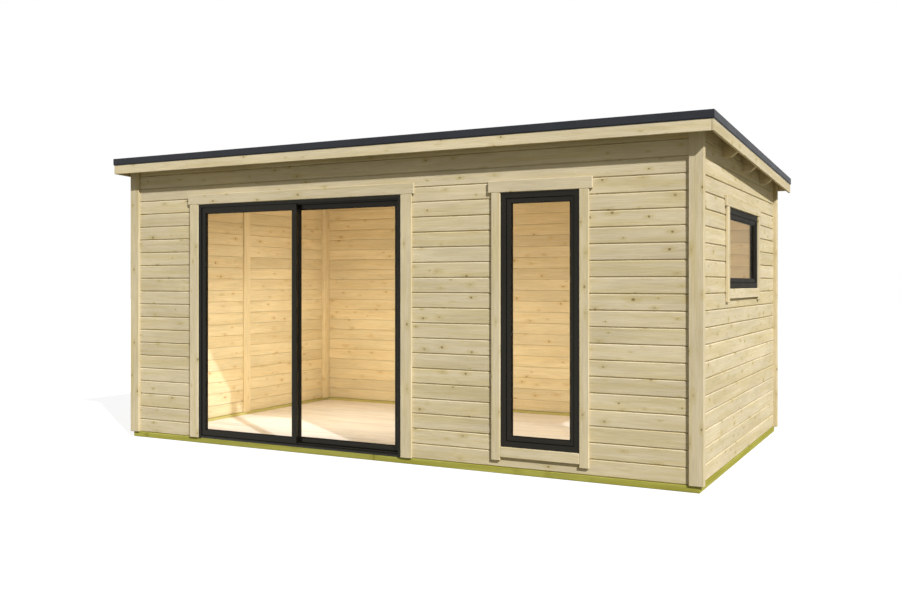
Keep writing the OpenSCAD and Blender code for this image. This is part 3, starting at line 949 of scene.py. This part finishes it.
def build_roofing():
    """Roofing sheet in lengths along the pod, each lapped over the next one down the fall.

    The upper face is a grid over X and Y whose height steps down by one sheet at each lap, with a slight
    swell. The lower face is flat on the boards.
    """
    thick = leaning_height(roof_low, roof_high)
    laps = np.linspace(roof_low[1], roof_high[1], sheet_count + 1)[1:-1]
    x = np.linspace(roof_low[0], roof_high[0], sheet_points_x)
    y = np.linspace(roof_low[1], roof_high[1], sheet_points_y)
    near_laps = [lap + lap_half * np.linspace(-9, 9, 37) for lap in laps]
    y = np.unique(np.concatenate([y, *near_laps]))
    base = wall_high[2] + roof_high[2] - thick - wall_top(roof_low[1])
    grid_x, grid_y = np.meshgrid(x, y)
    step = sum(np.clip((lap + lap_half - grid_y) / (2 * lap_half), 0, 1) for lap in laps) / len(laps)
    wave = swell * np.sin(grid_x * 2.3 + 1.1 * np.sin(grid_y * 3.1)) * np.sin(grid_y * 4.3 + grid_x * 0.7)
    upper = base + thick - lap_h + lap_h * step - swell + wave
    lower_face = points_of(grid_x, grid_y, base)[:, :, ::-1]
    loop = np.concatenate([points_of(grid_x, grid_y, upper), lower_face], 2)
    stock = follow_roof(stock_of(loop))
    # Painted shade in the corner under each lap, and each sheet a little darker than the one above it
    below = stock.points[:, 1:2] - laps - lap_half
    lap_shade_and_sheet_tone = np.exp(-((below / lap_shade_reach) ** 2)).max(1) * 0.45 + 0.05 * (below > 0).sum(1)
    piece("roofing_sheet_lapped", stock._replace(tone=lap_shade_and_sheet_tone), roofing, ["roof_membrane"])


# Door and windows


def outline_along_x(outline, x0, x1, edge):
    """A bar: an outline in Y and Z is carried along X through four stations.

    At both ends it is drawn in towards its middle by the width of the planed edge.
    """
    outline = np.array(outline, float)
    middle = (outline.min(0) + outline.max(0)) / 2
    half = (outline.max(0) - outline.min(0)) / 2
    drawn = middle + (outline - middle) * (half - edge) / half
    y, z = np.moveaxis(np.stack([drawn, outline, outline, drawn]), -1, 0)
    x = np.array([x0, x0 + edge, x1 - edge, x1])
    return stock_of(points_of(x[:, None], y, z))


def frame_ring(low, high, profile, axis):
    """A mitred frame: a profile of (inset from the outer edge, depth) points is carried round a rectangle.

    Low and high are the corners of the rectangle along the wall and in height. Depth runs on the other axis.
    """
    inset, depth = np.array(profile, float).T
    ends = np.array([[0, 0], [1, 0], [1, 1], [0, 1]])
    points = np.zeros((1, 4, len(inset), 3))
    for place_axis, column in ((axis, 0), (2, 1)):
        side = ends[:, column][:, None]
        points[0, ..., place_axis] = np.where(side == 1, high[column] - inset, low[column] + inset)
    points[0, ..., 1 - axis] = depth
    return stock_of(points, ring=True)


def build_door_frame():
    """Jambs, head and sill with two tracks each, carried along the doorway, and a seal at each jamb.

    A seal is a quarter of an ellipse in the corner of jamb and leaf, carried up from the sill to the head.
    """
    sill_low, sill_high = box("door_sill")
    head_low, head_high = box("door_head")
    jambs = planks(*beside(box("door_jambs"), (sill_low, sill_high), 0), 2, metal_edge)
    stand_in("door_jambs", "metal", jambs, dark_metal)
    fixed_low, fixed_high = box("fixed_leaf_frame")
    slide_low, slide_high = box("sliding_leaf_frame")
    y0, y1 = sill_low[1], sill_high[1]
    sill_plate, head_plate = sill_high[2] - track_h, head_low[2] + track_h
    sill_front = [(y0 + slope_d, sill_low[2]), (y0, sill_low[2] + slope_h)]
    for name, front, base, plate, tip in (
        ("door_sill", sill_front, sill_low[2], sill_plate, sill_high[2]),
        ("door_head", [(y0, head_high[2])], head_high[2], head_plate, head_low[2]),
    ):
        outline = front + [(y0, plate)]
        for low, high in ((fixed_low, fixed_high), (slide_low, slide_high)):
            middle = (low[1] + high[1]) / 2
            near, far = middle - track_w / 2, middle + track_w / 2
            outline += [(near, plate), (near, tip), (far, tip), (far, plate)]
        outline += [(y1, plate), (y1, base)]
        bar = outline_along_x(outline, sill_low[0], sill_high[0], bar_edge)
        stand_in(name, "metal", bar, dark_metal)
    seals = []
    turn = np.linspace(0, np.pi / 2, 6)
    seal_z = np.array([[sill_plate], [head_plate]])
    for x, y, way in ((sill_low[0], fixed_low[1], 1), (sill_high[0], slide_low[1] - seal_play, -1)):
        seal_x = x + way * np.append(seal_w * np.sin(turn), 0)
        seal_y = y - np.append(seal_d * np.cos(turn), 0)
        seals.append(stock_of(points_of(seal_x, seal_y, seal_z)))
    piece("door_seals_rubber", seals, rubber)


def rubber_profile(outer, flat, inner, near, way, thin):
    """Rubber on the glass as (inset, depth): an outer edge, a flat back and a thin inner edge."""
    far = near + way * rubber_t
    return [(outer, near), (outer, far), (flat, far), (inner, near + way * thin), (inner, near)]


def build_leaf(name, body, groove_h):
    """Door leaf: two stiles and two rails with grooves over the tracks, and rubber round the glass."""
    low, high = box(name + "_frame")
    y0, y1 = low[1], high[1]
    z0, z1 = low[2], high[2]
    middle = (y0 + y1) / 2
    near, far = middle - groove_w / 2, middle + groove_w / 2

    def grooved(base, deep):
        """A lower or upper side with its groove, from the front to the back."""
        return [(y0, base), (near, base), (near, base + deep), (far, base + deep), (far, base), (y1, base)]

    stile = grooved(z0, groove_h) + grooved(z1, -track_h)[::-1]
    bars = [outline_along_x(stile, x, x + stile_w, metal_edge) for x in (low[0], high[0] - stile_w)]
    rail_start, rail_end = low[0] + stile_w - rail_lap, high[0] - stile_w + rail_lap
    for base, way, deep in ((z0, 1, groove_h), (z1, -1, track_h)):
        inner = base + way * rail_h
        rail = grooved(base, way * deep)
        rail += [(y1, inner - way * bead), (y1 - bead, inner), (y0 + bead, inner), (y0, inner - way * bead)]
        bars.append(outline_along_x(rail, rail_start, rail_end, rail_edge))
    stand_in(name + "_frame", "metal", bars, dark_metal, body)
    corner_low = (low[0] + stile_w - rubber_w / 2, z0 + rail_h - rubber_w / 2)
    corner_high = (high[0] - stile_w + rubber_w / 2, z1 - rail_h + rubber_w / 2)
    rings = []
    for way in (-1, 1):
        pane = middle + way * glass_t / 2
        profile = rubber_profile(0, rubber_w * 0.7, rubber_w * 1.2, pane, way, leaf_rubber_thin)
        rings.append(frame_ring(corner_low, corner_high, profile, 0))
    piece(name + "_glazing_rubber", rings, rubber, body=body)


def build_window(name, axis, face, way, metal):
    """Window in a wall: a frame with its stop, a sash with a bevel down to the glass, and rubber round it.

    Face is the board face's place on the other axis, and way the direction into the room.
    """
    low, high = box(name + "_frame")
    corners = (low[[axis, 2]], high[[axis, 2]])

    def ring(points):
        """A frame from a profile whose depth is measured from the face into the room."""
        return frame_ring(*corners, [(inset, face + way * depth) for inset, depth in points], axis)

    edge = metal_edge
    stop_in = frame_face + stop_reach
    stop_back = sash_depth + stop_depth
    frame_bars = ring([
        (0, edge - frame_proud), (edge, -frame_proud), (frame_face - edge, -frame_proud),
        (frame_face, edge - frame_proud), (frame_face, sash_depth), (stop_in - edge, sash_depth),
        (stop_in, sash_depth + edge), (stop_in, stop_back - edge), (stop_in - edge, stop_back),
        (0, stop_back),
    ])
    stand_in(name + "_frame", "metal", frame_bars, metal)
    out = frame_face + sash_gap
    inn = out + sash_face
    sash_back = sash_depth - stop_play
    sash = ring([
        (out, edge), (out + edge, 0), (inn - sash_bevel, 0), (inn - edge, glass_back * 0.6),
        (inn, glass_back * 0.8), (inn, sash_depth - edge), (inn - edge, sash_back), (out, sash_back),
    ])
    stand_in(name + "_sash", "metal", sash, metal)
    edges = (inn - rubber_w, inn + rubber_w * 0.2, inn + rubber_w * 0.5)
    rings = [
        ring(rubber_profile(*edges, pane, side, window_rubber_thin))
        for pane, side in ((glass_back, -1), (glass_back + glass_t, 1))
    ]
    piece(name + "_glazing_rubber", rings, rubber)


def finish_solids():
    """Finishes of the solids that show as they are: the glass units and the rollers."""
    for name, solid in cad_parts.items():
        for ending, finish in (("_glass", glass), ("_rollers", nylon)):
            if name.endswith(ending):
                solid.data.materials.clear()
                solid.data.materials.append(finish)


# Floor, light and camera

image_w, image_h = 900, 600
# Camera, fitted to the photograph: focal length and horizon in pixels, its place right of the side wall, in
# front of the front wall and above the ground, and its turn to the left in degrees
focal_px = 953.46
horizon_px = 283.04
eye_right = 1.4534
eye_front = 6.2647
eye_height = 1.3733
camera_turn = 27.715
# Floor: half size, drop under the object, glow and shade towards the camera, and shade towards the object
stage_half = 60.0
stage_drop = 0.0005
stage_glow = 0.77
stage_shade = (0.27, 0.27, 0.27, 1)
stage_bounce = (0.21, 0.20, 0.14, 1)
# Light of the surroundings on the object, where the white that the camera sees is 1
sky_share = 0.345


def path_share(tree):
    """1 for rays from the camera, straight, through glass or off a shiny face, and 0 for the others."""
    ray = node(tree, "LightPath").outputs
    seen = maths(tree, "MAXIMUM", ray["Is Camera Ray"], ray["Is Transmission Ray"])
    return maths(tree, "MAXIMUM", seen, ray["Is Glossy Ray"])


def build_stage():
    """Pale floor that is white to the camera apart from a soft shadow, and gives back little light."""
    corners = np.array([[-1, -1], [1, -1], [1, 1], [-1, 1]]) * stage_half
    mesh = bpy.data.meshes.new("pale_floor_stage")
    mesh.from_pydata([(x, y, -stage_drop) for x, y in corners.tolist()], [], [(0, 1, 2, 3)])
    finish = bpy.data.materials.new("white_stage")
    tree = cleared(finish)
    glow = node(tree, "Emission", {"Color": (1, 1, 1, 1), "Strength": stage_glow})
    lit = node(tree, "BsdfDiffuse", {"Color": stage_shade})
    shown = node(tree, "AddShader", {0: glow.outputs[0], 1: lit.outputs[0]})
    plain = node(tree, "BsdfDiffuse", {"Color": stage_bounce})
    both = node(tree, "MixShader", {0: path_share(tree), 1: plain.outputs[0], 2: shown.outputs[0]})
    node(tree, "OutputMaterial", {0: both.outputs[0]})
    mesh.materials.append(finish)
    show("stage_floor", mesh)


def lamp(name, kind, place_at, aim, power, colour=(1, 1, 1), **settings):
    """A lamp that looks from its place along aim and that no camera sees."""
    data = bpy.data.lights.new(name, kind)
    data.energy = power
    data.color = colour
    for key, value in settings.items():
        setattr(data, key, value)
    made = show(name, data)
    made.location = place_at
    made.rotation_mode = "QUATERNION"
    made.rotation_quaternion = Vector(aim).to_track_quat("-Z", "Y")
    made.visible_camera = False
    made.visible_glossy = False
    made.visible_transmission = False


def room_fill(name, place_at, aim, power, size, spread=None, colour=(1, 1, 1)):
    """A soft lamp in the room, of a width and a height, whose light spreads over an angle in degrees."""
    settings = {"shape": "RECTANGLE", "size": size[0], "size_y": size[1]}
    if spread:
        settings["spread"] = math.radians(spread)
    lamp(name, "AREA", place_at, aim, power, colour, **settings)


def build_light():
    """White surroundings, a sun from the front right, a fainter one from behind, and fills in the room."""
    world = bpy.data.worlds.new("white_surroundings")
    bpy.context.scene.world = world
    tree = cleared(world)
    strength = maths(tree, "MULTIPLY_ADD", path_share(tree), 1 - sky_share, sky_share)
    back = node(tree, "Background", {"Color": (1, 1, 1, 1), "Strength": strength})
    node(tree, "OutputWorld", {0: back.outputs[0]})
    lamp("sun", "SUN", (4, -6, 7), (-1.371, 1.0, -1.361), 4.95, angle=math.radians(1.2))
    x, y = -0.25, (front_y + back_y) / 2
    low = box("floor_deck")[1][2] + 0.01
    room = (4.2, 2.4)
    room_fill("room_fill_low", (x, y, low), (0, 0, 1), 8.6, room)
    room_fill("room_fill_high", (x, y, 2.15), (0, 0, -1), 21.3, room, 80)
    room_fill("room_fill_front", (x, front_y + wall_t + 0.12, 0.82), (0, 1, 0), 21.5, (4.2, 0.6), 120)
    room_fill("room_fill_left", (0.2, y - 0.1, 0.95), (-1, 0, 0), 8.8, (2.0, 0.8), 90)
    room_fill("room_fill_right", (2.2, y, 1.4), (0, 1, 0), 0.95, (0.4, 1.0), 90, (1.0, 0.97, 0.72))
    lamp("back_fill", "SUN", (-4, 6, 5), (1.0, -0.8, -0.9), 1.6, angle=math.radians(30))


def build_camera():
    """Level camera in front of the right corner, shifted to bring the horizon to its height in the frame."""
    data = bpy.data.cameras.new("camera")
    data.sensor_width = 36.0
    data.lens = focal_px / image_w * data.sensor_width
    data.shift_y = (horizon_px - image_h / 2) / image_w
    data.clip_end = 500.0
    made = show("camera", data)
    made.location = (side_x + eye_right, front_y - eye_front, eye_height)
    made.rotation_euler = (math.pi / 2, 0, math.radians(camera_turn))
    bpy.context.scene.camera = made


build_walls()
build_base()
build_posts()
build_trims()
build_purlins()
build_roof_deck()
build_fascias()
build_edging()
build_roofing()
build_door_frame()
build_leaf("fixed_leaf", "pod", fixed_groove_h)
build_leaf("sliding_leaf", "sliding_leaf", track_h)
build_window("tall_window", 0, front_y, 1, dark_metal)
build_window("side_window", 1, side_x, -1, matt_metal)
finish_solids()
build_stage()
build_light()
build_camera()

bpy.context.scene.view_settings.view_transform = "Standard"
